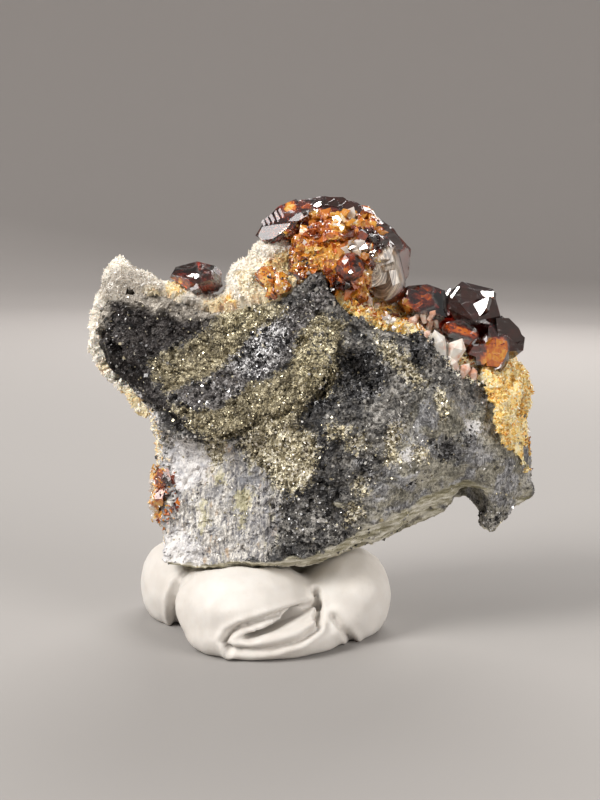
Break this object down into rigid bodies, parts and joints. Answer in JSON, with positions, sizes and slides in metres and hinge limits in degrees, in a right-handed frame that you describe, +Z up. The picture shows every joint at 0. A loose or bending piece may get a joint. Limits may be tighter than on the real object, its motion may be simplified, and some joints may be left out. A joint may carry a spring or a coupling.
{
  "type": "sphalerite specimen",
  "caption": "Dark red-brown sphalerite crystals on a quartz-crusted piece of banded sulphide rock, standing on a pressed lump of white mounting putty.",
  "frame": {"origin": "under the middle of the whole object, on the surface that it stands on", "axes": "+Z up, the broken banded front faces -Y, the right end with the hanging tip is +X"},
  "size_m": [0.0652, 0.0338, 0.0606],
  "materials": {
    "matrix": "broken sulphide rock in dark grey, silver and brassy bands, with glinting grains",
    "quartz": "white to cream sugary crust of fine quartz crystals",
    "stained_quartz": "yellow to orange iron-stained grains",
    "sphalerite": "adamantine flat faces, dark red-brown, see-through amber where thin",
    "putty": "matt, soft-edged white putty with faint finger marks"
  },
  "bodies": {
    "root": {"matrix": "matrix", "quartz_druse": "quartz", "stained_crust": "stained_quartz", "sphalerite_top_cluster": "sphalerite", "sphalerite_right_cluster": "sphalerite", "sphalerite_left_crystal": "sphalerite", "sphalerite_small_cluster": "sphalerite", "sphalerite_edge_cluster": "sphalerite", "sphalerite_back_cluster_1": "sphalerite", "sphalerite_back_cluster_2": "sphalerite", "sphalerite_back_cluster_3": "sphalerite", "sphalerite_back_cluster_4": "sphalerite", "mounting_putty": "putty"}
  },
  "joints": []
}
